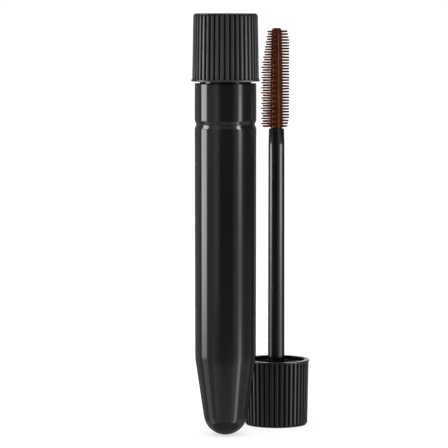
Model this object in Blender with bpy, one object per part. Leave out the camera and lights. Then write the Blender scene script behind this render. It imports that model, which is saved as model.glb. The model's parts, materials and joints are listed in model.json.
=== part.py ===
"""Mascara tube: a closed tube with its applicator inside it, and a second applicator standing on its cap.

The tube stands on its round tip at the origin, with +Z along its axis and its front towards -Y.
Each applicator is built once, in a frame of its own that starts at the cap's closed end and runs to
the brush tip. The tube's applicator hangs from an empty, head down, and the spare one stands upright.
"""

import math

import bmesh
import bpy

MM = 0.001
TURN = 2 * math.pi

# Driving dimensions
TUBE_HEIGHT = 107.5 * MM  # round tip to the cap's closed end
BARREL_RADIUS = 7.83 * MM
BARREL_FOOT_RADIUS = 7.77 * MM  # the barrel has a little draft
BARREL_WALL = 1.2 * MM
TIP_RADIUS = 5.6 * MM
TAPER_START = 19.7 * MM  # height where the barrel begins to narrow
TAPER_ANGLE = math.radians(8.9)
GROOVE_HEIGHT = 79.42 * MM
GROOVE_WIDTH = 1.9 * MM
GROOVE_DEPTH = 0.33 * MM
SHOULDER_HEIGHT = 89.85 * MM
SHOULDER_ROUNDING = 0.25 * MM

NECK_TOP = 103.6 * MM
NECK_COLLAR_RADIUS = 6.5 * MM
NECK_COLLAR_LENGTH = 1.6 * MM
NECK_RADIUS = 6.05 * MM
NECK_BORE_RADIUS = 4.9 * MM
NECK_BORE_END = 0.5 * MM  # below the shoulder, where the bore opens into the barrel
BARREL_SHOULDER_SLOPE = 2.2 * MM  # below the shoulder, where the barrel has its full bore
NECK_CHAMFER = 0.3 * MM

CAP_LENGTH = 17.15 * MM
CAP_MOUTH_RADIUS = 8.49 * MM  # over the rib crests, at the open end
CAP_TOP_RADIUS = 8.21 * MM  # over the rib crests, at the closed end
CAP_BORE_RADIUS = 7.4 * MM
CAP_CEILING = 1.2 * MM
CAP_END_RADIUS = 7.9 * MM  # the smooth disc at the closed end, before the ribs begin
CAP_END_HEIGHT = 0.25 * MM
CAP_END_CHAMFER = 0.15 * MM
RIB_START = 0.6 * MM
FLANGE_RADIUS = 8.7 * MM
FLANGE_HEIGHT = 0.5 * MM
RIB_COUNT = 40
RIB_DEPTH = 0.35 * MM

THREAD_PITCH = 2.0 * MM
THREAD_TURNS = 1.5
THREAD_START = 94.0 * MM  # height of the neck thread's lower end
THREAD_WIDTH = 0.8 * MM
THREAD_CREST_WIDTH = 0.45 * MM
THREAD_BITE = 0.2 * MM  # how deep a ridge is rooted in its wall
NECK_THREAD_RADIUS = 6.62 * MM
INSERT_BORE_RADIUS = 6.85 * MM
INSERT_THREAD_RADIUS = 6.28 * MM

INSERT_RADIUS = 7.3 * MM
INSERT_RECESS = 1.0 * MM  # from the cap's mouth to the insert's edge
INSERT_CEILING = 1.0 * MM
INSERT_LEAD_IN = 0.1 * MM  # how far the insert's mouth is opened, over INSERT_LEAD_HEIGHT
INSERT_LEAD_HEIGHT = 0.4 * MM
SOCKET_RADIUS = 3.1 * MM
SOCKET_BORE_RADIUS = 1.8 * MM
SOCKET_DEPTH = 7.1 * MM  # from the cap's closed end to the end of the rod's socket

ROD_RADIUS = 2.18 * MM  # beside the cap
ROD_MID_RADIUS = 2.1 * MM
ROD_NOSE_RADIUS = 1.97 * MM
ROD_NOSE_LENGTH = 4.0 * MM
ROD_CHAMFER = 0.2 * MM
ROD_END = 77.5 * MM  # from the cap's closed end to where the brush leaves the rod
ROD_PLUG_RADIUS = 1.7 * MM

BRUSH_LENGTH = 26.07 * MM
BRUSH_ROOT_RADIUS = 1.54 * MM
BRUSH_TIP_RADIUS = 1.2 * MM
BRUSH_TIP_ROUNDING = 0.45 * MM
BRUSH_SLEEVE_WALL = 0.35 * MM
BRUSH_COLLAR = 0.2 * MM  # bare core between the rod and the sleeve
BRUSH_BARE_TIP = 0.55 * MM  # bare core beyond the sleeve
BRUSH_PIN_RADIUS = 0.9 * MM
BRUSH_PIN_LENGTH = 6.0 * MM

FAN_REACH = 4.0 * MM  # bristle tip to the brush's axis
FAN_TIP_REACH = 2.28 * MM
FAN_TAPER = 10.3 * MM  # the fan's reach falls over this length at the brush tip
FAN_COLUMNS = 7
FAN_SPREAD = 148.0  # degrees from the first column to the last
FAN_ROWS = 19
FAN_PITCH = 1.327 * MM
FAN_START = 0.92 * MM  # from the brush tip to the first bristle
COMB_REACH = 3.33 * MM
COMB_END_REACH = 2.85 * MM
COMB_COUNT = 34
COMB_PITCH = 0.745 * MM
COMB_START = 0.87 * MM
COMB_FADE = 3  # bristles that shorten at each end of the comb
BRISTLE_RADIUS = 0.18 * MM
BRISTLE_BITE = 0.21 * MM  # how deep a bristle is rooted in the sleeve
BRISTLE_SIDES = 3

WIPER_FLANGE_RADIUS = 5.6 * MM
WIPER_FLANGE_HEIGHT = 0.7 * MM
WIPER_SKIRT_RADIUS = 4.8 * MM
WIPER_MOUTH_RADIUS = 3.9 * MM
WIPER_LIP_RADIUS = 2.3 * MM
WIPER_LENGTH = 10.2 * MM
WIPER_LIP_HEIGHT = 0.8 * MM
WIPER_LIP_WALL = 0.5 * MM
WIPER_FUNNEL_HEIGHT = 3.0 * MM  # above the lip's edge, where the funnel has its full width
WIPER_SKIRT_HEIGHT = 2.6 * MM

LINER_RADIUS = 6.0 * MM
LINER_HOLE_RADIUS = 3.3 * MM
LINER_HEIGHT = 0.7 * MM
SEAL_RADIUS = 3.5 * MM
SEAL_HOLE_RADIUS = 2.3 * MM
SEAL_HEIGHT = 1.0 * MM

FILL_LEVEL = 72.0 * MM
FILL_CHANNEL_RADIUS = 4.15 * MM
FILL_CHANNEL_START = 15.45 * MM
FILL_WALL = 0.9 * MM

FIT_GAP = 0.1 * MM  # between pieces that are pressed or laid together
WELD_DISTANCE = 0.001 * MM

SPARE_X = 13.25 * MM
SPARE_Y = 18.5 * MM

BODY_SEGMENTS = 32
SMALL_SEGMENTS = 24
POINTS_PER_RIB = 3


def remove_everything():
    for obj in list(bpy.data.objects):
        bpy.data.objects.remove(obj, do_unlink=True)


def plastic(name, colour, roughness):
    """A Principled material; none of the pieces is metal."""
    material = bpy.data.materials.new(name)
    material.use_nodes = True
    shader = material.node_tree.nodes["Principled BSDF"]
    shader.inputs["Base Color"].default_value = (*colour, 1)
    shader.inputs["Roughness"].default_value = roughness
    shader.inputs["Metallic"].default_value = 0
    return material


def new_object(name, mesh, material, parent=None):
    """Puts a mesh in the scene under its node name. A copy of a piece shares the first one's mesh."""
    if not mesh.materials:
        mesh.materials.append(material)
    mesh.shade_smooth()
    mesh.set_sharp_from_angle(angle=math.radians(35))
    obj = bpy.data.objects.new(name, mesh)
    obj.parent = parent
    bpy.context.scene.collection.objects.link(obj)
    return obj


def finished_mesh(name, bm):
    """Turns the faces outward and gives back a mesh."""
    bmesh.ops.recalc_face_normals(bm, faces=bm.faces)
    mesh = bpy.data.meshes.new(name)
    bm.to_mesh(mesh)
    bm.free()
    return mesh


def turned(name, profile, segments):
    """Spins a profile of (radius, height) points about Z. A profile that meets the axis starts and ends on
    it, and any other profile is a closed loop."""
    bm = bmesh.new()
    verts = [bm.verts.new((radius, 0, height)) for radius, height in profile]
    edges = [bm.edges.new(pair) for pair in zip(verts, verts[1:])]
    if profile[0][0] > 0:
        edges.append(bm.edges.new((verts[-1], verts[0])))
    bmesh.ops.spin(
        bm, geom=verts + edges, axis=(0, 0, 1), cent=(0, 0, 0), angle=TURN, steps=segments, use_merge=True
    )
    bmesh.ops.remove_doubles(bm, verts=bm.verts, dist=WELD_DISTANCE)
    return finished_mesh(name, bm)


def arc(centre, radius, start, end, steps):
    """Points on an arc in the profile plane, with angles in degrees from the radial direction."""
    angles = [math.radians(start + (end - start) * k / steps) for k in range(steps + 1)]
    return [(centre[0] + radius * math.cos(a), centre[1] + radius * math.sin(a)) for a in angles]


def loft(rings, name):
    """Joins rings of equal length into a skin and closes both ends."""
    bm = bmesh.new()
    loops = [[bm.verts.new(point) for point in ring] for ring in rings]
    for lower, upper in zip(loops, loops[1:]):
        for k in range(len(lower)):
            after = (k + 1) % len(lower)
            bm.faces.new((lower[k], lower[after], upper[after], upper[k]))
    bm.faces.new(loops[0])
    bm.faces.new(loops[-1])
    return finished_mesh(name, bm)


def thread_ridge(name, start_angle, start_height, wall_radius, crest_radius):
    """A right-handed helical ridge whose ends sink into the wall that it stands on."""
    bite = math.copysign(THREAD_BITE, crest_radius - wall_radius)
    stations = round(THREAD_TURNS * BODY_SEGMENTS)
    fade = BODY_SEGMENTS // 8
    rings = []
    for k in range(stations + 1):
        angle = start_angle + TURN * k / BODY_SEGMENTS
        height = start_height + THREAD_PITCH * k / BODY_SEGMENTS
        rise = min(1, k / fade, (stations - k) / fade)
        crest = wall_radius - bite / 2 + (crest_radius - wall_radius + bite / 2) * rise
        root = wall_radius - bite
        section = [
            (root, -THREAD_WIDTH / 2),
            (crest, -THREAD_CREST_WIDTH / 2),
            (crest, THREAD_CREST_WIDTH / 2),
            (root, THREAD_WIDTH / 2),
        ]
        rings.append([(r * math.cos(angle), r * math.sin(angle), height + dz) for r, dz in section])
    return loft(rings, name)


def unite(obj, tool_mesh):
    """Adds a tool's shape to a piece with an exact Boolean, and keeps the tool as a hidden helper."""
    tool = bpy.data.objects.new(tool_mesh.name, tool_mesh)
    bpy.context.scene.collection.objects.link(tool)
    tool.parent = obj.parent
    tool.hide_render = True
    tool.display_type = "WIRE"
    union = obj.modifiers.new("union", "BOOLEAN")
    union.operation = "UNION"
    union.solver = "EXACT"
    union.object = tool


def barrel_outline():
    """The barrel's outside, from the round tip up to the shoulder."""
    tip = arc((0, TIP_RADIUS), TIP_RADIUS, -90, -math.degrees(TAPER_ANGLE), 6)
    tip[0] = (0, 0)
    half = GROOVE_WIDTH / 2
    groove = [
        (BARREL_RADIUS, GROOVE_HEIGHT - half),
        (BARREL_RADIUS - GROOVE_DEPTH, GROOVE_HEIGHT - half / 4),
        (BARREL_RADIUS - GROOVE_DEPTH, GROOVE_HEIGHT + half / 4),
        (BARREL_RADIUS, GROOVE_HEIGHT + half),
    ]
    shoulder = [
        (BARREL_RADIUS, SHOULDER_HEIGHT - SHOULDER_ROUNDING),
        (BARREL_RADIUS - SHOULDER_ROUNDING, SHOULDER_HEIGHT),
    ]
    return tip + [(BARREL_FOOT_RADIUS, TAPER_START)] + groove + shoulder


def neck_outline():
    collar_top = SHOULDER_HEIGHT + NECK_COLLAR_LENGTH
    return [
        (NECK_COLLAR_RADIUS, SHOULDER_HEIGHT),
        (NECK_COLLAR_RADIUS, collar_top - NECK_CHAMFER),
        (NECK_RADIUS, collar_top),
        (NECK_RADIUS, NECK_TOP - NECK_CHAMFER),
        (NECK_RADIUS - NECK_CHAMFER, NECK_TOP),
    ]


def reservoir_outline(wall):
    """The inside of the barrel, a wall's thickness in, from the neck's bore down to the round bottom."""
    inner_tip = TIP_RADIUS - wall
    bottom = arc((0, TIP_RADIUS), inner_tip, -math.degrees(TAPER_ANGLE), -90, 4)
    bottom[-1] = (0, wall)
    return [(BARREL_FOOT_RADIUS - wall, TAPER_START)] + bottom


def make_vial(material):
    neck_bore = [
        (NECK_BORE_RADIUS, NECK_TOP),
        (NECK_BORE_RADIUS, SHOULDER_HEIGHT - NECK_BORE_END),
        (BARREL_RADIUS - BARREL_WALL, SHOULDER_HEIGHT - BARREL_SHOULDER_SLOPE),
    ]
    profile = barrel_outline() + neck_outline() + neck_bore + reservoir_outline(BARREL_WALL)
    vial = new_object("vial", turned("vial", profile, BODY_SEGMENTS), material)
    unite(vial, thread_ridge("neck_thread", 0, THREAD_START, NECK_RADIUS, NECK_THREAD_RADIUS))


def make_wiper(material):
    """A funnel that hangs in the neck from a flange, down to the lip that strips the rod."""
    seat = NECK_TOP + FIT_GAP
    foot = seat - WIPER_LENGTH
    profile = [
        (WIPER_MOUTH_RADIUS, seat + WIPER_FLANGE_HEIGHT),
        (WIPER_MOUTH_RADIUS, foot + WIPER_FUNNEL_HEIGHT),
        (WIPER_LIP_RADIUS, foot + WIPER_LIP_HEIGHT),
        (WIPER_LIP_RADIUS, foot),
        (WIPER_LIP_RADIUS + WIPER_LIP_WALL, foot),
        (WIPER_SKIRT_RADIUS, foot + WIPER_SKIRT_HEIGHT),
        (WIPER_SKIRT_RADIUS, seat),
        (WIPER_FLANGE_RADIUS, seat),
        (WIPER_FLANGE_RADIUS, seat + WIPER_FLANGE_HEIGHT),
    ]
    new_object("wiper", turned("wiper", profile, SMALL_SEGMENTS), material)


def make_fill(material):
    """The mascara: a lining on the wall, around the channel that the brush leaves."""
    outer_wall = BARREL_WALL + 2 * FIT_GAP
    channel_floor = outer_wall + FILL_WALL
    outside = reservoir_outline(outer_wall)
    inner_tip = TIP_RADIUS - channel_floor
    channel = arc((0, TIP_RADIUS), inner_tip, -90, -math.degrees(TAPER_ANGLE), 3)
    channel[0] = (0, channel_floor)
    top = [
        (FILL_CHANNEL_RADIUS, FILL_CHANNEL_START),
        (FILL_CHANNEL_RADIUS, FILL_LEVEL),
        (BARREL_RADIUS - outer_wall, FILL_LEVEL),
    ]
    new_object("mascara_fill", turned("mascara_fill", channel + top + outside, SMALL_SEGMENTS), material)


def cap_ring(height, crest_radius, rib_depth):
    """One ring around the cap. The rib profile is a rounded wave that starts on a crest at +X."""
    count = RIB_COUNT * POINTS_PER_RIB
    ring = []
    for k in range(count):
        angle = TURN * k / count
        wave = (1 - math.cos(RIB_COUNT * angle)) / 2
        radius = crest_radius - rib_depth * wave
        ring.append((radius * math.cos(angle), radius * math.sin(angle), height))
    return ring


def cap_shell_mesh():
    """The ribbed cap, closed end at height 0 and mouth up. A smooth disc closes it, and the ribs follow."""
    flange = CAP_LENGTH - FLANGE_HEIGHT
    outside = [
        cap_ring(0, CAP_END_RADIUS - CAP_END_CHAMFER, 0),
        cap_ring(CAP_END_CHAMFER, CAP_END_RADIUS, 0),
        cap_ring(CAP_END_HEIGHT, CAP_END_RADIUS, 0),
        cap_ring(RIB_START, CAP_TOP_RADIUS, RIB_DEPTH),
        cap_ring(flange, CAP_MOUTH_RADIUS, RIB_DEPTH),
        cap_ring(flange, FLANGE_RADIUS, 0),
        cap_ring(CAP_LENGTH, FLANGE_RADIUS, 0),
    ]
    inside = [
        cap_ring(CAP_LENGTH, CAP_BORE_RADIUS, 0),
        cap_ring(CAP_CEILING, CAP_BORE_RADIUS, 0),
    ]
    return loft(outside + inside, "cap_shell")


def insert_mesh():
    """The threaded insert of the cap, with the socket that the rod plugs into."""
    top = CAP_CEILING + FIT_GAP
    ceiling = top + INSERT_CEILING
    mouth = CAP_LENGTH - INSERT_RECESS
    profile = [
        (0, top),
        (INSERT_RADIUS, top),
        (INSERT_RADIUS, mouth),
        (INSERT_BORE_RADIUS + INSERT_LEAD_IN, mouth),
        (INSERT_BORE_RADIUS, mouth - INSERT_LEAD_HEIGHT),
        (INSERT_BORE_RADIUS, ceiling),
        (SOCKET_RADIUS, ceiling),
        (SOCKET_RADIUS, SOCKET_DEPTH),
        (SOCKET_BORE_RADIUS, SOCKET_DEPTH),
        (SOCKET_BORE_RADIUS, ceiling),
        (0, ceiling),
    ]
    return turned("inner_cap", profile, BODY_SEGMENTS)


def rod_mesh():
    """The hollow-nosed rod: a plug for the cap's socket, a long shaft, and a nose that holds the brush."""
    plug_end = CAP_CEILING + FIT_GAP + INSERT_CEILING + FIT_GAP
    shoulder = SOCKET_DEPTH + FIT_GAP
    pin_bore = BRUSH_PIN_RADIUS + FIT_GAP / 2
    bore_floor = ROD_END - BRUSH_PIN_LENGTH - FIT_GAP
    profile = [
        (0, plug_end),
        (ROD_PLUG_RADIUS, plug_end),
        (ROD_PLUG_RADIUS, shoulder),
        (ROD_RADIUS, shoulder),
        (ROD_RADIUS, CAP_LENGTH),
        (ROD_MID_RADIUS, ROD_END - ROD_NOSE_LENGTH),
        (ROD_NOSE_RADIUS, ROD_END - ROD_CHAMFER),
        (ROD_NOSE_RADIUS - ROD_CHAMFER, ROD_END),
        (pin_bore, ROD_END),
        (pin_bore, bore_floor),
        (0, bore_floor),
    ]
    return turned("rod", profile, SMALL_SEGMENTS)


def brush_radius(height):
    """The brush narrows a little from the rod to its tip."""
    along = (height - ROD_END) / BRUSH_LENGTH
    return BRUSH_ROOT_RADIUS + (BRUSH_TIP_RADIUS - BRUSH_ROOT_RADIUS) * along


def brush_core_mesh():
    """The stiff core: a pin inside the rod, a collar against the rod, and the rounded tip."""
    start = ROD_END + FIT_GAP
    sleeve_start = start + BRUSH_COLLAR
    tip = ROD_END + BRUSH_LENGTH
    sleeve_end = tip - BRUSH_BARE_TIP
    step = BRUSH_SLEEVE_WALL + FIT_GAP / 2
    profile = [
        (0, ROD_END - BRUSH_PIN_LENGTH),
        (BRUSH_PIN_RADIUS, ROD_END - BRUSH_PIN_LENGTH),
        (BRUSH_PIN_RADIUS, start),
        (brush_radius(start), start),
        (brush_radius(sleeve_start), sleeve_start),
        (brush_radius(sleeve_start) - step, sleeve_start),
        (brush_radius(sleeve_end) - step, sleeve_end),
        (brush_radius(sleeve_end), sleeve_end),
        (brush_radius(tip), tip - BRUSH_TIP_ROUNDING),
        (brush_radius(tip) - BRUSH_TIP_ROUNDING, tip),
        (0, tip),
    ]
    return turned("brush_core", profile, SMALL_SEGMENTS)


def bristle_places():
    """Yields each bristle's direction in degrees from +X, its height and its reach from the axis.
    Every second column of the fan is half a pitch lower."""
    tip = ROD_END + BRUSH_LENGTH
    for column in range(FAN_COLUMNS):
        direction = 180 - FAN_SPREAD / 2 + FAN_SPREAD * column / (FAN_COLUMNS - 1)
        stagger = FAN_PITCH / 2 * ((column + 1) % 2)
        for row in range(FAN_ROWS):
            height = tip - FAN_START - stagger - row * FAN_PITCH
            full = min(1, (tip - height) / FAN_TAPER)
            yield direction, height, FAN_TIP_REACH + (FAN_REACH - FAN_TIP_REACH) * full
    for k in range(COMB_COUNT):
        full = min(1, k / COMB_FADE, (COMB_COUNT - 1 - k) / COMB_FADE)
        reach = COMB_END_REACH + (COMB_REACH - COMB_END_REACH) * full
        yield 0, tip - COMB_START - k * COMB_PITCH, reach


def bristle_cones_mesh():
    """All bristles as thin cones whose roots are buried in the sleeve."""
    bm = bmesh.new()
    for direction, height, reach in bristle_places():
        angle = math.radians(direction)
        outward = (math.cos(angle), math.sin(angle))
        sideways = (-outward[1], outward[0])
        root = brush_radius(height) - BRISTLE_BITE
        base = []
        for k in range(BRISTLE_SIDES):
            turn = TURN * k / BRISTLE_SIDES
            side = BRISTLE_RADIUS * math.cos(turn)
            base.append(
                bm.verts.new(
                    (
                        root * outward[0] + side * sideways[0],
                        root * outward[1] + side * sideways[1],
                        height + BRISTLE_RADIUS * math.sin(turn),
                    )
                )
            )
        point = bm.verts.new((reach * outward[0], reach * outward[1], height))
        bm.faces.new(base)
        for k in range(BRISTLE_SIDES):
            bm.faces.new((base[k], base[(k + 1) % BRISTLE_SIDES], point))
    return finished_mesh("bristle_cones", bm)


def sleeve_mesh():
    """The thin sleeve that carries the bristles, between the core's collar and its tip."""
    low = ROD_END + BRUSH_COLLAR + 2 * FIT_GAP
    high = ROD_END + BRUSH_LENGTH - BRUSH_BARE_TIP - FIT_GAP
    profile = [
        (brush_radius(low), low),
        (brush_radius(high), high),
        (brush_radius(high) - BRUSH_SLEEVE_WALL, high),
        (brush_radius(low) - BRUSH_SLEEVE_WALL, low),
    ]
    return turned("bristles", profile, SMALL_SEGMENTS)


def ring_mesh(name, low, height, hole, radius):
    profile = [(hole, low), (radius, low), (radius, low + height), (hole, low + height)]
    return turned(name, profile, SMALL_SEGMENTS)


def applicator_meshes():
    """The pieces of one applicator that need no Boolean, by their names."""
    liner_start = CAP_CEILING + FIT_GAP + INSERT_CEILING + FIT_GAP
    seal_start = SOCKET_DEPTH + 2 * FIT_GAP
    return {
        "cap_shell": cap_shell_mesh(),
        "rod": rod_mesh(),
        "brush_core": brush_core_mesh(),
        "cap_liner": ring_mesh("cap_liner", liner_start, LINER_HEIGHT, LINER_HOLE_RADIUS, LINER_RADIUS),
        "rod_seal": ring_mesh("rod_seal", seal_start, SEAL_HEIGHT, SEAL_HOLE_RADIUS, SEAL_RADIUS),
        "inner_cap": insert_mesh(),
        "bristles": sleeve_mesh(),
    }


def applicator_tools():
    """The shapes that Booleans add: the insert's thread, half a pitch under the neck's, and the bristles."""
    angle = -TURN * THREAD_TURNS
    height = TUBE_HEIGHT - THREAD_START + THREAD_PITCH * (0.5 - THREAD_TURNS)
    return {
        "inner_cap": thread_ridge("insert_thread", angle, height, INSERT_BORE_RADIUS, INSERT_THREAD_RADIUS),
        "bristles": bristle_cones_mesh(),
    }


def make_applicator(prefix, meshes, tools, materials, location, upside_down):
    """One applicator on an empty that stands at its cap's closed end, on its axis."""
    frame = bpy.data.objects.new(prefix + "applicator_frame", None)
    frame.location = location
    frame.rotation_euler = (math.pi if upside_down else 0, 0, 0)
    bpy.context.scene.collection.objects.link(frame)
    for name, mesh in meshes.items():
        piece = new_object(prefix + name, mesh, materials[name], frame)
        if name in tools:
            unite(piece, tools[name])


def build():
    remove_everything()
    cap_black = plastic("cap_black", (0.018, 0.018, 0.019), 0.32)
    tube_black = plastic("tube_black", (0.014, 0.014, 0.015), 0.16)
    rod_black = plastic("rod_black", (0.012, 0.012, 0.013), 0.12)
    brush_brown = plastic("brush_brown", (0.075, 0.022, 0.010), 0.34)
    seal_grey = plastic("seal_grey", (0.30, 0.30, 0.30), 0.55)
    wiper_white = plastic("wiper_white", (0.55, 0.55, 0.53), 0.45)
    mascara_brown = plastic("mascara_brown", (0.020, 0.010, 0.007), 0.25)
    make_vial(tube_black)
    make_wiper(wiper_white)
    make_fill(mascara_brown)
    materials = {
        "cap_shell": cap_black,
        "inner_cap": cap_black,
        "rod": rod_black,
        "brush_core": brush_brown,
        "bristles": brush_brown,
        "cap_liner": seal_grey,
        "rod_seal": seal_grey,
    }
    meshes = applicator_meshes()
    tools = applicator_tools()
    make_applicator("", meshes, tools, materials, (0, 0, TUBE_HEIGHT), True)
    make_applicator("spare_", meshes, tools, materials, (SPARE_X, SPARE_Y, 0), False)


build()
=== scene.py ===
"""Looks of the mascara tube: the closed tube, its own applicator inside, and a spare applicator beside it."""

import json
import math
import random

import bmesh
import bpy
from mathutils import Matrix, Vector, noise


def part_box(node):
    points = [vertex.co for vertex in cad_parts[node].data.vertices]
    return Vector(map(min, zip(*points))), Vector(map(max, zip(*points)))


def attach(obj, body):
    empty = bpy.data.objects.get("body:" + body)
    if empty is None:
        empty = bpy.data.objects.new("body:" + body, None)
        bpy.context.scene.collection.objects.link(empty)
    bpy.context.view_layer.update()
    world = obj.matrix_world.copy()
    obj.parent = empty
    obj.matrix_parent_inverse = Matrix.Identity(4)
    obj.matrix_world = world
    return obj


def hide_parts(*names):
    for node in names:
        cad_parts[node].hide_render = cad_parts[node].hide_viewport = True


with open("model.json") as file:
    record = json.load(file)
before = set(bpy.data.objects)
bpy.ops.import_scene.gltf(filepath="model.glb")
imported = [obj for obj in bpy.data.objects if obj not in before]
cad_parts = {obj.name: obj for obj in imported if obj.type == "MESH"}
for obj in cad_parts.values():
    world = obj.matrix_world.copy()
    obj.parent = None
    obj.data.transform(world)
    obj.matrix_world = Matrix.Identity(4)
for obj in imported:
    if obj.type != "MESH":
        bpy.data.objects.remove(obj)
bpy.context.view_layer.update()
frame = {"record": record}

MM = 0.001
TURN = 2 * math.pi

# Places and sizes read from the frame. The spare applicator stands upright at the floor, so its boxes
# give each height as a distance from the cap's closed end.
TUBE_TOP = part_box("cap_shell")[1].z
BARREL_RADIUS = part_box("vial")[1].x
NECK_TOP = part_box("vial")[1].z
FLANGE_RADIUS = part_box("cap_shell")[1].x
CAP_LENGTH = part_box("spare_cap_shell")[1].z
SPARE_AXIS = (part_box("spare_cap_shell")[0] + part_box("spare_cap_shell")[1]) / 2
INSERT_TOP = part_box("spare_inner_cap")[0].z
INSERT_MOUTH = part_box("spare_inner_cap")[1].z
INSERT_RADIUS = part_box("inner_cap")[1].x
ROD_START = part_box("spare_rod")[0].z
ROD_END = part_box("spare_rod")[1].z
ROD_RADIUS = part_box("rod")[1].x
PIN_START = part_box("spare_brush_core")[0].z
BRUSH_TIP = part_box("spare_brush_core")[1].z
FILL_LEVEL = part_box("mascara_fill")[1].z

# The tube
TIP_RADIUS = 5.6 * MM
TAPER_ANGLE = math.radians(8.9)
TAPER_START = 19.7 * MM
TAPER_BLEND = 14 * MM
BARREL_FOOT_RADIUS = 7.77 * MM
BARREL_WALL = 1.2 * MM
GROOVE_HEIGHT = 79.42 * MM
GROOVE_HALF = 0.98 * MM
GROOVE_DEPTH = 0.41 * MM  # before its floor is rounded
GROOVE_FLOOR_ROUNDING = 0.45 * MM
GROOVE_LOW_LIP = 1.0 * MM  # the rounding of each lip
GROOVE_HIGH_LIP = 0.6 * MM
SHOULDER_HEIGHT = 89.85 * MM
SHOULDER_ROUNDING = 0.22 * MM
COLLAR_RADIUS = 6.5 * MM
COLLAR_LENGTH = 1.6 * MM
COLLAR_ROUNDING = 0.25 * MM
NECK_RADIUS = 6.05 * MM
NECK_BORE = 4.9 * MM
NECK_BORE_FOOT = SHOULDER_HEIGHT - 0.5 * MM
BARREL_BORE_TOP = SHOULDER_HEIGHT - 2.2 * MM
BORE_ROUNDING = 1.0 * MM

# The mascara inside
FILL_GAP = 0.15 * MM  # to the barrel's bore
FILL_FLOOR = 0.9 * MM  # its thickness below the channel
CHANNEL_RADIUS = 4.2 * MM
CHANNEL_MOUTH_RADIUS = 4.3 * MM
CHANNEL_FOOT = 15.4 * MM
FILL_CREST = FILL_LEVEL - 0.4 * MM
FILL_RAGGEDNESS = 0.12 * MM

# The closure's thread
THREAD_PITCH = 2 * MM
THREAD_TURNS = 1.5
THREAD_START = 94 * MM
THREAD_ROOT = 0.4 * MM  # half widths of the ridge
THREAD_CREST = 0.2 * MM
THREAD_FADE = 0.12  # turns over which each end runs out
NECK_THREAD_HEIGHT = 0.56 * MM
INSERT_BORE = 6.85 * MM
INSERT_CEILING = INSERT_TOP + 1.0 * MM
INSERT_THREAD_HEIGHT = 0.56 * MM

# The cap
CAP_MOUTH_RADIUS = 8.48 * MM  # over the rib crests
CAP_TOP_RADIUS = 8.2 * MM
CAP_END_RADIUS = 7.88 * MM  # the smooth disc at the closed end
CAP_END_HEIGHT = 0.2 * MM
CAP_END_DISH = 0.05 * MM  # how far the disc's middle is sunk
CAP_BORE = 7.4 * MM
CAP_CEILING = 1.2 * MM
FLANGE_HEIGHT = 0.5 * MM
RIB_COUNT = 40
RIB_DEPTH = 0.35 * MM
RIB_FLAT = 0.15 * MM  # half the width of a rib's flat crest
RIB_ARC = 0.22 * MM  # the rounding beside the crest
RIB_FLANK = math.radians(62)  # the slope of the flanks
RIB_ROOT = 0.15 * MM  # the rounding at the foot of a flank
RIB_TURN = math.radians(2.95)  # how far the tube's cap is turned from the spare one's place
RIB_START = 0.6 * MM
SOCKET_RADIUS = 3.1 * MM
SOCKET_BORE = 1.8 * MM
SOCKET_END = 7.1 * MM

# The rod and the brush
ROD_MID_RADIUS = 2.1 * MM
ROD_NOSE_RADIUS = 1.97 * MM
ROD_NOSE_LENGTH = 4 * MM
ROD_NOSE_BEND = 6 * MM
ROD_PLUG_RADIUS = 1.7 * MM
PIN_RADIUS = 0.9 * MM
PIN_CLEARANCE = 0.05 * MM
BRUSH_ROOT_RADIUS = 1.54 * MM
BRUSH_TIP_RADIUS = 1.2 * MM
BRUSH_COLLAR = 0.2 * MM
BRUSH_BARE_TIP = 0.55 * MM
BRUSH_WAIST = 0.4 * MM  # how deep the sleeve's seat is cut
SLEEVE_GAP = 0.15 * MM
SLEEVE_SKIN = 0.33 * MM
SLEEVE_STEPS = 40
FAN_COLUMNS = 7
FAN_SPREAD = 148.0  # degrees
FAN_ROWS = 19
FAN_PITCH = 1.327 * MM
FAN_START = 0.92 * MM  # from the brush tip to the first bristle
FAN_REACH = 4.0 * MM
FAN_TIP_REACH = 2.28 * MM
FAN_TAPER = 10.3 * MM  # the length over which the fan reaches its full width
COMB_COUNT = 34
COMB_PITCH = 0.745 * MM
COMB_START = 0.87 * MM
COMB_REACH = 3.32 * MM
COMB_END_REACH = 2.85 * MM
COMB_FADE = 3  # shorter bristles at each end of the comb
FAN_ROOT = 0.27 * MM  # a bristle's radius where it leaves the sleeve
FAN_END = 0.2 * MM
COMB_ROOT = 0.29 * MM
COMB_END = 0.23 * MM
BRISTLE_FLARE = 0.15 * MM
BRISTLE_FLARE_LENGTH = 0.3 * MM / 2.2
BRISTLE_ROOT_DEPTH = 0.2 * MM  # how far it starts inside the sleeve
BRISTLE_SWAY = 0.035 * MM  # the spread of the tips' lean
BRISTLE_SIDES = 8
BRISTLE_RINGS = 9
RING_CROWDING = 1.6  # sets the rings closer together near the root

# Edge roundings that several pieces share
SHARP_EDGE = 0.05 * MM
FINE_EDGE = 0.1 * MM
CRISP_EDGE = 0.15 * MM
SOFT_EDGE = 0.2 * MM
ROUND_EDGE = 0.3 * MM

SEGMENTS = 128  # steps round a turned piece
MID_SEGMENTS = 96  # for narrower pieces
SMALL_SEGMENTS = 64  # for the smallest
ARC_STEP = math.radians(9)  # along a rounding
RIB_ARC_STEPS = 4

LENGTHWISE = (1, 1, 0.25)  # stretches a material's pattern along the height

# The studio
STRIP_DISTANCE = 0.5  # from the tube's axis to each tall softbox
CEILING_PLACE = (0.05, -0.1)
FLOOR_HALF = 6.0
FLOOR_DROP = 0.02 * MM  # keeps the floor clear of the pieces that stand on it
SUN_SPREAD = math.radians(80)
WORLD_BRIGHTNESS = 1.07
CAMERA_PLACE = (-0.0004, -0.750, 0.1140)
CAMERA_TILT = 0.0798  # radians below level
CAMERA_LENS = 237.5
CAMERA_SENSOR = 36.0


# Shapes


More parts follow.
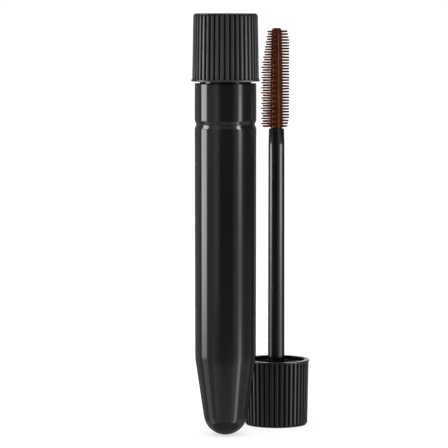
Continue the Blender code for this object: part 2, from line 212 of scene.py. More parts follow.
def arc(centre, radius, start, end):
    """Points on an arc in the profile plane, from one angle in degrees to another."""
    steps = max(2, math.ceil(math.radians(abs(end - start)) / (ARC_STEP / 2)))
    angles = [math.radians(start + (end - start) * k / steps) for k in range(steps + 1)]
    return [(centre[0] + radius * math.cos(a), centre[1] + radius * math.sin(a)) for a in angles]


def outline(corners):
    """Profile points through (radius, height) or (radius, height, rounding) corners, with an arc at each
    corner that has a rounding."""
    points = []
    for k, (radius, height, *rounding) in enumerate(corners):
        here = Vector((radius, height))
        if not rounding:
            points.append(tuple(here))
            continue
        back = (Vector(corners[k - 1][:2]) - here).normalized()
        ahead = (Vector(corners[(k + 1) % len(corners)][:2]) - here).normalized()
        half = back.angle(ahead) / 2
        centre = here + (back + ahead).normalized() * rounding[0] / math.sin(half)
        start = here + back * rounding[0] / math.tan(half) - centre
        end = here + ahead * rounding[0] / math.tan(half) - centre
        sweep = math.atan2(start.cross(end), start.dot(end))
        steps = max(2, math.ceil(abs(sweep) / ARC_STEP))
        for step in range(steps + 1):
            turn = Matrix.Rotation(sweep * step / steps, 2)
            points.append(tuple(centre + turn @ start))
    return points


def lathe(name, profile, angles=SEGMENTS, closed=True, shape=None):
    """Turns a profile about Z through the given angles, or through a number of even steps.
    shape(angle, radius, height) may move a point in or out. Where the profile meets the axis, the ring is
    one point."""
    if isinstance(angles, int):
        angles = [TURN * k / angles for k in range(angles)]
    segments = len(angles)
    verts, rings = [], []
    for radius, height in profile:
        start = len(verts)
        if radius < 1e-7:
            verts.append((0, 0, height))
            rings.append([start] * segments)
            continue
        for angle in angles:
            out = shape(angle, radius, height) if shape else radius
            verts.append((out * math.cos(angle), out * math.sin(angle), height))
        rings.append(list(range(start, start + segments)))
    pairs = list(zip(rings, rings[1:]))
    if closed:
        pairs.append((rings[-1], rings[0]))
    faces = []
    for low, high in pairs:
        for k in range(segments):
            after = (k + 1) % segments
            corners = dict.fromkeys((low[k], low[after], high[after], high[k]))
            if len(corners) > 2:
                faces.append(tuple(corners))
    return mesh_from(name, verts, faces)


def mesh_from(name, verts, faces):
    mesh = bpy.data.meshes.new(name)
    mesh.from_pydata(verts, [], faces)
    bm = bmesh.new()
    bm.from_mesh(mesh)
    bmesh.ops.recalc_face_normals(bm, faces=bm.faces)
    bm.to_mesh(mesh)
    bm.free()
    mesh.shade_smooth()
    return mesh


def thread_rise(angle, height, start_angle, start_height):
    """How far a point on a threaded wall is up the ridge, from 0 on the wall to 1 on the crest."""
    turns = ((angle - start_angle) / TURN) % 1
    best = 0
    while turns <= THREAD_TURNS:
        off = abs(height - start_height - THREAD_PITCH * turns)
        side = min(1, max(0, (THREAD_ROOT - off) / (THREAD_ROOT - THREAD_CREST)))
        end = min(1, turns / THREAD_FADE, (THREAD_TURNS - turns) / THREAD_FADE)
        best = max(best, side * side * (3 - 2 * side) * math.sin(end * TURN / 4))
        turns += 1
    return best


def fine_run(radius, start, end, step=0.07 * MM):
    """Closely spaced points along a straight wall, for a ridge to be raised on."""
    count = math.ceil(abs(end - start) / step)
    return [(radius, start + (end - start) * k / count) for k in range(1, count)]


def same(first, second):
    """Whether two radii are equal but for rounding."""
    return abs(first - second) <= 0.01 * MM


def threaded_span():
    """Heights between which the neck's thread lies, with a little room."""
    return THREAD_START - THREAD_ROOT, THREAD_START + THREAD_PITCH * THREAD_TURNS + THREAD_ROOT


def vial_mesh():
    tip = arc((0, TIP_RADIUS), TIP_RADIUS, -90, -math.degrees(TAPER_ANGLE))
    tip[0] = (0, 0)
    inner = arc((0, TIP_RADIUS), TIP_RADIUS - BARREL_WALL, -math.degrees(TAPER_ANGLE), -90)
    inner[-1] = (0, BARREL_WALL)
    collar_top = SHOULDER_HEIGHT + COLLAR_LENGTH
    low, high = threaded_span()
    corners = [
        *tip,
        (BARREL_FOOT_RADIUS, TAPER_START, TAPER_BLEND),
        (BARREL_RADIUS, GROOVE_HEIGHT - GROOVE_HALF, GROOVE_LOW_LIP),
        (BARREL_RADIUS - GROOVE_DEPTH, GROOVE_HEIGHT, GROOVE_FLOOR_ROUNDING),
        (BARREL_RADIUS, GROOVE_HEIGHT + GROOVE_HALF, GROOVE_HIGH_LIP),
        (BARREL_RADIUS, SHOULDER_HEIGHT, SHOULDER_ROUNDING),
        (COLLAR_RADIUS, SHOULDER_HEIGHT, CRISP_EDGE),
        (COLLAR_RADIUS, collar_top, COLLAR_ROUNDING),
        (NECK_RADIUS, collar_top, SOFT_EDGE),
        *fine_run(NECK_RADIUS, low, high),
        (NECK_RADIUS, NECK_TOP, ROUND_EDGE),
        (NECK_BORE, NECK_TOP, SOFT_EDGE),
        (NECK_BORE, NECK_BORE_FOOT, BORE_ROUNDING),
        (BARREL_RADIUS - BARREL_WALL, BARREL_BORE_TOP, BORE_ROUNDING),
        (BARREL_FOOT_RADIUS - BARREL_WALL, TAPER_START),
        *inner,
    ]

    def shape(angle, radius, height):
        if not same(radius, NECK_RADIUS):
            return radius
        return radius + NECK_THREAD_HEIGHT * thread_rise(angle, height, 0, THREAD_START)

    return lathe("vial", outline(corners), closed=False, shape=shape)


def wiper_mesh():
    """The soft funnel in the neck. Its lip is a thin ring that strips the rod."""
    low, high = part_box("wiper")
    mouth = 3.9 * MM
    throat = low.z + 3.0 * MM
    lip = 2.3 * MM
    lip_top = low.z + 0.8 * MM
    lip_width = 0.5 * MM
    skirt = 4.8 * MM
    skirt_foot = low.z + 2.6 * MM
    flange_under = high.z - 0.7 * MM
    corners = [
        (mouth, high.z, ROUND_EDGE),
        (mouth, throat, 1.2 * MM),
        (lip, lip_top, SOFT_EDGE),
        (lip, low.z, 0.12 * MM),
        (lip + lip_width, low.z, CRISP_EDGE),
        (skirt, skirt_foot, 0.8 * MM),
        (skirt, flange_under, FINE_EDGE),
        (high.x, flange_under, FINE_EDGE),
        (high.x, high.z, CRISP_EDGE),
    ]
    return lathe("wiper", outline(corners))


def fill_mesh():
    """The mascara: a cream lining with the ragged channel that the brush leaves."""
    outer = BARREL_WALL + FILL_GAP
    floor = outer + FILL_FLOOR
    side = -math.degrees(TAPER_ANGLE)
    inside = arc((0, TIP_RADIUS), TIP_RADIUS - floor, -90, side)
    inside[0] = (0, floor)
    outside = arc((0, TIP_RADIUS), TIP_RADIUS - outer, side, -90)
    outside[-1] = (0, outer)
    corners = [
        *inside,
        (CHANNEL_RADIUS, CHANNEL_FOOT),
        *fine_run(CHANNEL_RADIUS, CHANNEL_FOOT, FILL_LEVEL - MM, 1.5 * MM),
        (CHANNEL_MOUTH_RADIUS, FILL_CREST, 0.6 * MM),
        (BARREL_RADIUS - outer, FILL_CREST, ROUND_EDGE),
        (BARREL_FOOT_RADIUS - outer, TAPER_START),
        *outside,
    ]

    def shape(angle, radius, height):
        on_channel = CHANNEL_RADIUS - 0.2 * MM < radius < CHANNEL_RADIUS + MM
        if not on_channel or height < TAPER_START:
            return radius
        point = Vector((math.cos(angle), math.sin(angle), height / (2.5 * MM)))
        return radius + FILL_RAGGEDNESS * noise.noise(point * 1.7)

    return lathe("mascara_fill", outline(corners), angles=MID_SEGMENTS, closed=False, shape=shape)


def rib_section():
    """Half a rib, as pairs of distance across from its middle and drop below its crest."""
    turns = [RIB_FLANK * k / RIB_ARC_STEPS for k in range(RIB_ARC_STEPS + 1)]
    section = [(0, 0)]
    for turn in turns:
        section.append((RIB_FLAT + RIB_ARC * math.sin(turn), RIB_ARC * (1 - math.cos(turn))))
    run = (RIB_DEPTH - (RIB_ARC + RIB_ROOT) * (1 - math.cos(RIB_FLANK))) / math.tan(RIB_FLANK)
    foot = section[-1][0] + run + RIB_ROOT * math.sin(RIB_FLANK)
    for turn in turns[::-2]:
        section.append((foot - RIB_ROOT * math.sin(turn), RIB_DEPTH - RIB_ROOT * (1 - math.cos(turn))))
    section.append((math.pi * CAP_TOP_RADIUS / RIB_COUNT, RIB_DEPTH))
    return section


def cap_mesh():
    """The ribbed shell, closed end at height 0. A smooth disc closes it, and the ribs rise beyond that."""
    flange = CAP_LENGTH - FLANGE_HEIGHT
    flange_edge = 0.12 * MM
    corners = [
        (0, CAP_END_DISH),
        (CAP_TOP_RADIUS * 0.5, CAP_END_DISH * 0.8),
        (CAP_END_RADIUS, 0, 0.12 * MM),
        (CAP_END_RADIUS, CAP_END_HEIGHT, 0.04 * MM),
        (CAP_TOP_RADIUS, RIB_START, ROUND_EDGE),
        (CAP_MOUTH_RADIUS, flange - 0.6 * MM),
        (CAP_MOUTH_RADIUS, flange, 0.06 * MM),
        (FLANGE_RADIUS, flange, flange_edge),
        (FLANGE_RADIUS, CAP_LENGTH, flange_edge),
        (CAP_BORE, CAP_LENGTH, SOFT_EDGE),
        (CAP_BORE, CAP_CEILING, ROUND_EDGE),
        (0, CAP_CEILING),
    ]

    half = rib_section()
    whole = [(-across, drop) for across, drop in half[:0:-1]] + half[:-1]
    drops = {}
    for rib in range(RIB_COUNT):
        for across, drop in whole:
            drops[TURN * rib / RIB_COUNT + across / CAP_TOP_RADIUS] = drop

    def shape(angle, radius, height):
        on_side = radius > CAP_END_RADIUS - 0.05 * MM and CAP_END_HEIGHT < height < flange + 0.01 * MM
        if not on_side or radius > CAP_MOUTH_RADIUS + 0.02 * MM:
            return radius
        rise = min(1, (height - CAP_END_HEIGHT) / (RIB_START - CAP_END_HEIGHT))
        return radius - drops[angle] * rise

    return lathe("cap_shell", outline(corners), sorted(drops), closed=False, shape=shape)


def insert_mesh():
    """The threaded insert with the rod's socket. Its thread lies half a pitch from the neck's."""
    start_angle = -TURN * THREAD_TURNS
    start_height = TUBE_TOP - THREAD_START + THREAD_PITCH * (0.5 - THREAD_TURNS)
    span = THREAD_PITCH * THREAD_TURNS + THREAD_ROOT
    corners = [
        (0, INSERT_TOP),
        (INSERT_RADIUS, INSERT_TOP, SOFT_EDGE),
        (INSERT_RADIUS, INSERT_MOUTH, FINE_EDGE),
        (INSERT_BORE, INSERT_MOUTH, SOFT_EDGE),
        *fine_run(INSERT_BORE, start_height + span, start_height - THREAD_ROOT),
        (INSERT_BORE, INSERT_CEILING, 0.4 * MM),
        (SOCKET_RADIUS, INSERT_CEILING, ROUND_EDGE),
        (SOCKET_RADIUS, SOCKET_END, CRISP_EDGE),
        (SOCKET_BORE, SOCKET_END, SHARP_EDGE),
        (SOCKET_BORE, INSERT_CEILING),
        (0, INSERT_CEILING),
    ]

    def shape(angle, radius, height):
        if not same(radius, INSERT_BORE):
            return radius
        return radius - INSERT_THREAD_HEIGHT * thread_rise(angle, height, start_angle, start_height)

    return lathe("inner_cap", outline(corners), closed=False, shape=shape)


def rod_mesh():
    plug_end = SOCKET_END + 0.1 * MM
    pin_bore = PIN_RADIUS + PIN_CLEARANCE
    bore_floor = PIN_START - 0.1 * MM
    corners = [
        (0, ROD_START),
        (ROD_PLUG_RADIUS, ROD_START, SOFT_EDGE),
        (ROD_PLUG_RADIUS, plug_end),
        (ROD_RADIUS, plug_end, FINE_EDGE),
        (ROD_RADIUS, CAP_LENGTH),
        (ROD_MID_RADIUS, ROD_END - ROD_NOSE_LENGTH, ROD_NOSE_BEND),
        (ROD_NOSE_RADIUS, ROD_END, SOFT_EDGE),
        (pin_bore, ROD_END, SHARP_EDGE),
        (pin_bore, bore_floor),
        (0, bore_floor),
    ]
    return lathe("rod", outline(corners), angles=MID_SEGMENTS, closed=False)


def brush_radius(height):
    """The brush narrows a little from the rod to its tip."""
    along = (height - ROD_END) / (BRUSH_TIP - ROD_END)
    return BRUSH_ROOT_RADIUS + (BRUSH_TIP_RADIUS - BRUSH_ROOT_RADIUS) * along


def core_mesh():
    """The brush's core: pin, collar, the waist that the bristle sleeve covers, and the tip."""
    start = ROD_END + 0.1 * MM
    low, high = sleeve_span()
    step = 0.02 * MM
    corners = [
        (0, PIN_START),
        (PIN_RADIUS, PIN_START, FINE_EDGE),
        (PIN_RADIUS, start),
        (brush_radius(start), start, 0.08 * MM),
        (brush_radius(low), low - step, SHARP_EDGE),
        (brush_radius(low) - BRUSH_WAIST, low),
        (brush_radius(high) - BRUSH_WAIST, high),
        (brush_radius(high), high + step, SHARP_EDGE),
        (BRUSH_TIP_RADIUS - 0.03 * MM, BRUSH_TIP, 0.5 * MM),
        (0, BRUSH_TIP),
    ]
    return lathe("brush_core", outline(corners), angles=SMALL_SEGMENTS, closed=False)


def sleeve_span():
    """The heights between which the sleeve covers the core."""
    return ROD_END + BRUSH_COLLAR + SLEEVE_GAP, BRUSH_TIP - BRUSH_BARE_TIP - SLEEVE_GAP / 2


def sleeve_part():
    """The moulded skin that carries the bristles."""
    low, high = sleeve_span()
    edge = 0.04 * MM
    between = [low + (high - low) * k / SLEEVE_STEPS for k in range(1, SLEEVE_STEPS)]
    corners = [
        (brush_radius(low), low, edge),
        *[(brush_radius(height), height) for height in between],
        (brush_radius(high), high, edge),
        (brush_radius(high) - SLEEVE_SKIN, high),
        (brush_radius(low) - SLEEVE_SKIN, low),
    ]
    return lathe("sleeve", outline(corners), angles=SMALL_SEGMENTS)


def bristle_places():
    """Yields each bristle's direction in degrees from +X, its height, its reach from the axis, and its
    radius at each end."""
    for column in range(FAN_COLUMNS):
        direction = 180 - FAN_SPREAD / 2 + FAN_SPREAD * column / (FAN_COLUMNS - 1)
        stagger = FAN_PITCH / 2 * ((column + 1) % 2)
        for row in range(FAN_ROWS):
            height = BRUSH_TIP - FAN_START - stagger - row * FAN_PITCH
            full = min(1, (BRUSH_TIP - height) / FAN_TAPER)
            reach = FAN_TIP_REACH + (FAN_REACH - FAN_TIP_REACH) * full
            yield direction, height, reach, (FAN_ROOT, FAN_END)
    for k in range(COMB_COUNT):
        full = min(1, k / COMB_FADE, (COMB_COUNT - 1 - k) / COMB_FADE)
        reach = COMB_END_REACH + (COMB_REACH - COMB_END_REACH) * full
        yield 0, BRUSH_TIP - COMB_START - k * COMB_PITCH, reach, (COMB_ROOT, COMB_END)


def add_bristle(verts, faces, direction, height, reach, radii, lean):
    """One tapered bristle with a flared root and a round end. lean is the tip's shift sideways and up."""
    thick, thin = radii
    angle = math.radians(direction)
    outward = Vector((math.cos(angle), math.sin(angle), 0))
    sideways = Vector((-outward.y, outward.x, 0))
    up = Vector((0, 0, 1))
    surface = brush_radius(height)
    stations = []
    length = reach - surface
    for k in range(BRISTLE_RINGS):
        along = (k / (BRISTLE_RINGS - 1)) ** RING_CROWDING
        flare = BRISTLE_FLARE * math.exp(-along * length / BRISTLE_FLARE_LENGTH)
        stations.append((surface + (length - thin) * along, thick + (thin - thick) * along + flare))
    stations.insert(0, (surface - BRISTLE_ROOT_DEPTH, stations[0][1]))
    for turn in (30, 60):
        tip = math.radians(turn)
        stations.append((reach - thin * (1 - math.sin(tip)), thin * math.cos(tip)))
    first = len(verts)
    for distance, radius in stations:
        share = max(0, (distance - surface) / length)
        middle = outward * distance + up * height + (sideways * lean[0] + up * lean[1]) * share * share
        for k in range(BRISTLE_SIDES):
            turn = TURN * k / BRISTLE_SIDES
            verts.append(middle + (sideways * math.cos(turn) + up * math.sin(turn)) * radius)
    last = first + (len(stations) - 1) * BRISTLE_SIDES
    for ring in range(first, last, BRISTLE_SIDES):
        for k in range(BRISTLE_SIDES):
            after = (k + 1) % BRISTLE_SIDES
            faces.append((ring + k, ring + after, ring + BRISTLE_SIDES + after, ring + BRISTLE_SIDES + k))
    faces.append(tuple(range(first, first + BRISTLE_SIDES)))
    verts.append(outward * reach + up * height + sideways * lean[0] + up * lean[1])
    for k in range(BRISTLE_SIDES):
        faces.append((last + k, last + (k + 1) % BRISTLE_SIDES, len(verts) - 1))


def bristles_mesh():
    """The sleeve and its bristles, each with a slight lean of its own from moulding and use."""
    sway = random.Random(7)
    sleeve = sleeve_part()
    verts = [v.co.copy() for v in sleeve.vertices]
    faces = [tuple(p.vertices) for p in sleeve.polygons]
    bpy.data.meshes.remove(sleeve)
    for direction, height, reach, radii in bristle_places():
        lean = (sway.gauss(0, BRISTLE_SWAY), sway.gauss(0, BRISTLE_SWAY))
        add_bristle(verts, faces, direction, height, reach, radii, lean)
    return mesh_from("bristles", verts, faces)


def ring_mesh(name, node, hole):
    """A flat ring with soft edges, where a CAD node has it."""
    low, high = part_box(node)
    radius = (high.x - low.x) / 2
    edge = (high.z - low.z) * 0.3
    corners = [
        (hole, low.z, edge),
        (radius, low.z, edge),
        (radius, high.z, edge),
        (hole, high.z, edge),
    ]
    return lathe(name, outline(corners), angles=SMALL_SEGMENTS)


# Materials


class Nodes:
    """A short way to add and link shader nodes."""

    def __init__(self, name):
        self.material = bpy.data.materials.new(name)
        self.material.use_nodes = True
        self.tree = self.material.node_tree
        self.shader = self.tree.nodes["Principled BSDF"]
        self.coords = self.tree.nodes.new("ShaderNodeTexCoord").outputs["Object"]

    def link(self, source, target):
        self.tree.links.new(source, target)

    def noise(self, scale, detail=3, roughness=0.5, stretch=(1, 1, 1)):
        """Noise whose features are about 1/scale metres across."""
        mapping = self.tree.nodes.new("ShaderNodeMapping")
        mapping.inputs["Scale"].default_value = stretch
        self.link(self.coords, mapping.inputs["Vector"])
        node = self.tree.nodes.new("ShaderNodeTexNoise")
        node.inputs["Scale"].default_value = scale
        node.inputs["Detail"].default_value = detail
        node.inputs["Roughness"].default_value = roughness
        self.link(mapping.outputs["Vector"], node.inputs["Vector"])
        return node.outputs["Fac"]

    def spread(self, value, low, high, start=0.3, end=0.7):
        """Maps a value between start and end to the range low to high."""
        node = self.tree.nodes.new("ShaderNodeMapRange")
        node.inputs["From Min"].default_value = start
        node.inputs["From Max"].default_value = end
        node.inputs["To Min"].default_value = low
        node.inputs["To Max"].default_value = high
        self.link(value, node.inputs["Value"])
        return node.outputs["Result"]

    def mix(self, factor, first, second):
        """A colour between two, each given as a colour or as a socket."""
        node = self.tree.nodes.new("ShaderNodeMix")
        node.data_type = "RGBA"
        self.link(factor, node.inputs["Factor"])
        colour_sockets = [s for s in node.inputs if s.type == "RGBA"]
        for socket, value in zip(colour_sockets, (first, second)):
            if isinstance(value, bpy.types.NodeSocket):
                self.link(value, socket)
            else:
                socket.default_value = (*value, 1)
        return next(s for s in node.outputs if s.type == "RGBA")

    def combine(self, first, second, operation="ADD"):
        """Adds or multiplies two values, and keeps the result between 0 and 1."""
        node = self.tree.nodes.new("ShaderNodeMath")
        node.operation = operation
        node.use_clamp = True
        self.link(first, node.inputs[0])
        self.link(second, node.inputs[1])
        return node.outputs[0]

    def edges(self):
        """1 on convex edges, where handling polishes the plastic, and 0 elsewhere."""
        geometry = self.tree.nodes.new("ShaderNodeNewGeometry")
        return self.spread(geometry.outputs["Pointiness"], 0, 1, 0.52, 0.62)

    def coordinate(self, axis):
        """One of the object's own coordinates, in metres."""
        split = self.tree.nodes.new("ShaderNodeSeparateXYZ")
        self.link(self.coords, split.inputs["Vector"])
        return split.outputs[axis]

    def distance(self, low, high, taper=0):
        """0 within one distance of the piece's axis and 1 beyond the other. Both distances grow by taper for
        each metre of height."""
        flat = self.tree.nodes.new("ShaderNodeVectorMath")
        flat.operation = "MULTIPLY"
        flat.inputs[1].default_value = (1, 1, 0)
        self.link(self.coords, flat.inputs[0])
        length = self.tree.nodes.new("ShaderNodeVectorMath")
        length.operation = "LENGTH"
        self.link(flat.outputs["Vector"], length.inputs[0])
        drop = self.tree.nodes.new("ShaderNodeVectorMath")
        drop.operation = "DOT_PRODUCT"
        drop.inputs[1].default_value = (0, 0, -taper)
        self.link(self.coords, drop.inputs[0])
        return self.spread(self.combine(length.outputs["Value"], drop.outputs["Value"]), 0, 1, low, high)

    def bump(self, height, distance, normal=None):
        """A normal that follows a pattern whose full height is the given distance."""
        node = self.tree.nodes.new("ShaderNodeBump")
        node.inputs["Strength"].default_value = 1.0
        node.inputs["Distance"].default_value = distance
        self.link(height, node.inputs["Height"])
        if normal:
            self.link(normal, node.inputs["Normal"])
        return node.outputs["Normal"]

    def set(self, **values):
        """Sets the shader's own sockets, each named with underscores for spaces."""
        for name, value in values.items():
            self.shader.inputs[name.replace("_", " ")].default_value = value


def shade(colour, factor):
    """A colour made lighter or darker."""
    return tuple(min(1, c * factor) for c in colour)


def moulded_plastic(name, colour, roughness, ripple, grain, wear):
    """Dyed injection-moulded plastic: faint flow marks, a slightly uneven gloss and polished edges."""
    n = Nodes(name)
    flow = n.noise(90, detail=4, stretch=LENGTHWISE)
    specks = n.noise(1400, detail=2, roughness=0.6)
    body = n.mix(n.spread(flow, 0, 1), shade(colour, 0.82), shade(colour, 1.2))
    body = n.mix(n.spread(specks, 0, 0.35, 0.55, 0.75), body, shade(colour, 1.9))
    edges = n.edges()
    wear_and_painted_highlight = n.spread(n.noise(700, detail=3), 0, 1, 0.35, 0.65)
    rubbed = n.combine(edges, wear_and_painted_highlight, "MULTIPLY")
    n.link(n.mix(rubbed, body, shade(colour, wear)), n.shader.inputs["Base Color"])
    haze = n.noise(260, detail=5, roughness=0.6, stretch=(1, 1, 0.5))
    n.link(n.spread(haze, roughness * 0.8, roughness * 1.3), n.shader.inputs["Roughness"])
    wide = n.bump(n.noise(240, detail=1), ripple)
    fine = n.bump(n.noise(5200, detail=2), grain, normal=wide)
    n.link(fine, n.shader.inputs["Normal"])
    n.set(IOR=1.5)
    return n.material


def ribbed_plastic(name, colour):
    """The cap's satin plastic, with painted shade between the ribs: the valleys get a darker colour and a
    weaker reflection.
    """
    n = Nodes(name)
    flow = n.noise(90, detail=4, stretch=LENGTHWISE)
    body = n.mix(n.spread(flow, 0, 1), shade(colour, 0.85), shade(colour, 1.15))
    taper = (CAP_MOUTH_RADIUS - CAP_TOP_RADIUS) / CAP_LENGTH
    # Painted shade: this mask is 1 on the rib crests and the closed end, and 0 in the valleys between the
    # ribs, which get a darker colour and a weaker reflection.
    unshaded_crest_mask = n.distance(CAP_TOP_RADIUS - RIB_DEPTH + 0.08 * MM, CAP_TOP_RADIUS - 0.08 * MM, taper)
    end = n.spread(n.coordinate("Z"), 1, 0, CAP_END_HEIGHT, CAP_END_HEIGHT + 0.1 * MM)
    unshaded_crest_mask = n.combine(unshaded_crest_mask, end)
    n.link(n.mix(unshaded_crest_mask, shade(colour, 0.6), body), n.shader.inputs["Base Color"])
    n.link(n.spread(unshaded_crest_mask, 0.05, 0.6, 0, 1), n.shader.inputs["Specular IOR Level"])
    haze = n.noise(260, detail=5, roughness=0.6, stretch=(1, 1, 0.5))
    n.link(n.spread(haze, 0.3, 0.4), n.shader.inputs["Roughness"])
    n.set(IOR=1.5)
    return n.material


def brush_elastomer(name, core, bristle, wear_and_painted_highlight):
    """The moulded brush: a softly glossy dyed elastomer, redder in the thin bristles than in the core, darker
    along the comb, and with a painted highlight at the fan's ends: a paler colour and a stronger reflection
    there."""
    n = Nodes(name)
    mottled = n.noise(420, detail=4)
    streaks = n.noise(1500, detail=3, stretch=(1, 1, 0.3))
    out = n.distance(BRUSH_ROOT_RADIUS + 0.1 * MM, BRUSH_ROOT_RADIUS + 0.7 * MM)
    dark = n.mix(out, shade(core, 0.8), shade(bristle, 0.8))
    light = n.mix(out, shade(core, 1.25), shade(bristle, 1.25))
    body = n.mix(n.spread(mottled, 0, 1), dark, light)
    body = n.mix(n.spread(streaks, 0, 0.3, 0.5, 0.8), body, shade(core, 2.0))
    body = n.mix(n.distance(COMB_REACH - 1.2 * MM, COMB_REACH + 0.1 * MM), body, shade(bristle, 0.55))
    comb = n.spread(n.coordinate("X"), 0, 0.85, BRUSH_TIP_RADIUS, COMB_REACH - MM)
    body = n.mix(comb, body, shade(bristle, 0.2))
    # Painted highlight: the last few tenths of a millimetre of each fan bristle get a paler colour and a
    # stronger reflection, standing in for the glint that their round ends catch.
    painted_tip_highlight_mask = n.distance(FAN_REACH - 0.3 * MM, FAN_REACH - 0.1 * MM)
    n.link(n.mix(painted_tip_highlight_mask, body, wear_and_painted_highlight), n.shader.inputs["Base Color"])
    n.link(n.spread(painted_tip_highlight_mask, 0.2, 1.0, 0, 1), n.shader.inputs["Specular IOR Level"])
    n.link(n.spread(n.noise(900, detail=3), 0.22, 0.32), n.shader.inputs["Roughness"])
    n.link(n.bump(n.noise(3800, detail=2), 0.003 * MM), n.shader.inputs["Normal"])
    n.set(IOR=1.46, Specular_Tint=(1.0, 0.74, 0.6, 1.0))
    return n.material


def soft_polymer(name, colour, roughness, subsurface):
    """Undyed or lightly dyed soft plastic, as in the wiper and the seals."""
    n = Nodes(name)
    cloud = n.spread(n.noise(500, detail=3), 0, 1)
    n.link(n.mix(cloud, shade(colour, 0.88), shade(colour, 1.08)), n.shader.inputs["Base Color"])
    n.link(n.spread(n.noise(1200), roughness * 0.85, roughness * 1.15), n.shader.inputs["Roughness"])
    n.link(n.bump(n.noise(4000, detail=2), 0.003 * MM), n.shader.inputs["Normal"])
    n.set(Subsurface_Weight=subsurface, Subsurface_Scale=0.4 * MM)
    return n.material


def wet_cream(name, colour):
    """The mascara: dark pigment in a wet cream with drag marks."""
    n = Nodes(name)
    drag = n.noise(800, detail=5, stretch=(1, 1, 0.2))
    body = n.mix(n.spread(drag, 0, 1), shade(colour, 0.7), shade(colour, 1.5))
    n.link(body, n.shader.inputs["Base Color"])
    n.link(n.spread(n.noise(1500), 0.12, 0.4), n.shader.inputs["Roughness"])
    n.link(n.bump(drag, 0.05 * MM), n.shader.inputs["Normal"])
    return n.material


def pale_floor_material():
    """Matt off-white, with a faint drift of tone."""
    n = Nodes("pale_floor")
    drift = n.spread(n.noise(1.5, detail=2), 0, 1)
    n.link(n.mix(drift, (0.945, 0.945, 0.945), (0.955, 0.955, 0.955)), n.shader.inputs["Base Color"])
    n.link(n.spread(n.noise(60), 0.75, 0.85), n.shader.inputs["Roughness"])
    n.set(Specular_IOR_Level=0.0)
    return n.material


# Placing


PLACED = set()  # names of the finished pieces


def add_piece(name, mesh, material, body, node, place=None):
    """Puts a finished piece where its CAD node is, riding on that node's body."""
    if not mesh.materials:
        mesh.materials.append(material)
    obj = bpy.data.objects.new(name, mesh)
    bpy.context.scene.collection.objects.link(obj)
    if place:
        obj.matrix_world = place
    weighted = obj.modifiers.new("even_normals", "WEIGHTED_NORMAL")
    weighted.weight = 60
    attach(obj, body)
    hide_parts(node)
    PLACED.add(obj.name)


def make_tube(finishes):
    add_piece("tube_vial", vial_mesh(), finishes["tube_plastic"], "tube", "vial")
    add_piece("neck_wiper", wiper_mesh(), finishes["wiper_plastic"], "tube", "wiper")
    add_piece("mascara", fill_mesh(), finishes["mascara"], "tube", "mascara_fill")


def applicator_pieces():
    """One applicator's meshes in its own frame: name, mesh and material slot."""
    return [
        ("cap_shell", cap_mesh(), "cap_plastic"),
        ("inner_cap", insert_mesh(), "cap_plastic"),
        ("rod", rod_mesh(), "rod_plastic"),
        ("brush_core", core_mesh(), "brush_elastomer"),
        ("bristles", bristles_mesh(), "brush_elastomer"),
        ("cap_liner", ring_mesh("cap_liner", "spare_cap_liner", 3.3 * MM), "seal_rubber"),
        ("rod_seal", ring_mesh("rod_seal", "spare_rod_seal", 2.3 * MM), "seal_rubber"),
    ]


def make_applicators(finishes):
    bodies = frame["record"]["behaviour"]["bodies"]
    body_of = {node: body for body, nodes in bodies.items() for node in nodes}
    hanging = Matrix.Translation((0, 0, TUBE_TOP)) @ Matrix.Rotation(math.pi, 4, "X")
    standing = Matrix.Translation((SPARE_AXIS.x, SPARE_AXIS.y, 0))
    for name, mesh, slot in applicator_pieces():
        finish = finishes["insert_plastic" if name == "inner_cap" else slot]
        for prefix, place in (("", hanging), ("spare_", standing)):
            node = prefix + name
            turned = mesh
            if node == "cap_shell":
                turned = mesh.copy()
                turned.transform(Matrix.Rotation(-RIB_TURN, 4, "Z"))
            add_piece("fine_" + node, turned, finish, body_of[node], node, place)


def make_finishes():
    """Each material slot's material, and the inserts' own."""
    black, ripple, grain = moulded_plastic, 0.004 * MM, 0.0004 * MM
    tube, insert, rod = (0.0085, 0.0085, 0.009), (0.012, 0.012, 0.0125), (0.0065, 0.0065, 0.007)
    # The third brush colour is a painted highlight for the ends of the fan's bristles.
    core, bristle, wear_and_painted_highlight = (0.044, 0.010, 0.0035), (0.13, 0.021, 0.004), (0.2, 0.065, 0.038)
    return {
        "tube_plastic": black("tube_gloss_black", tube, 0.1, ripple, grain, 2.0),
        "cap_plastic": ribbed_plastic("cap_satin_black", (0.0105, 0.0105, 0.0108)),
        "insert_plastic": black("insert_gloss_black", insert, 0.16, ripple, grain, 2.5),
        "rod_plastic": black("rod_gloss_black", rod, 0.12, ripple / 2, grain, 2.0),
        "brush_elastomer": brush_elastomer("brush_brown", core, bristle, wear_and_painted_highlight),
        "seal_rubber": soft_polymer("seal_grey", (0.30, 0.30, 0.30), 0.55, 0.0),
        "wiper_plastic": soft_polymer("wiper_white", (0.62, 0.62, 0.60), 0.38, 0.4),
        "mascara": wet_cream("mascara_cream", (0.016, 0.008, 0.006)),
    }


# Stage, light and camera


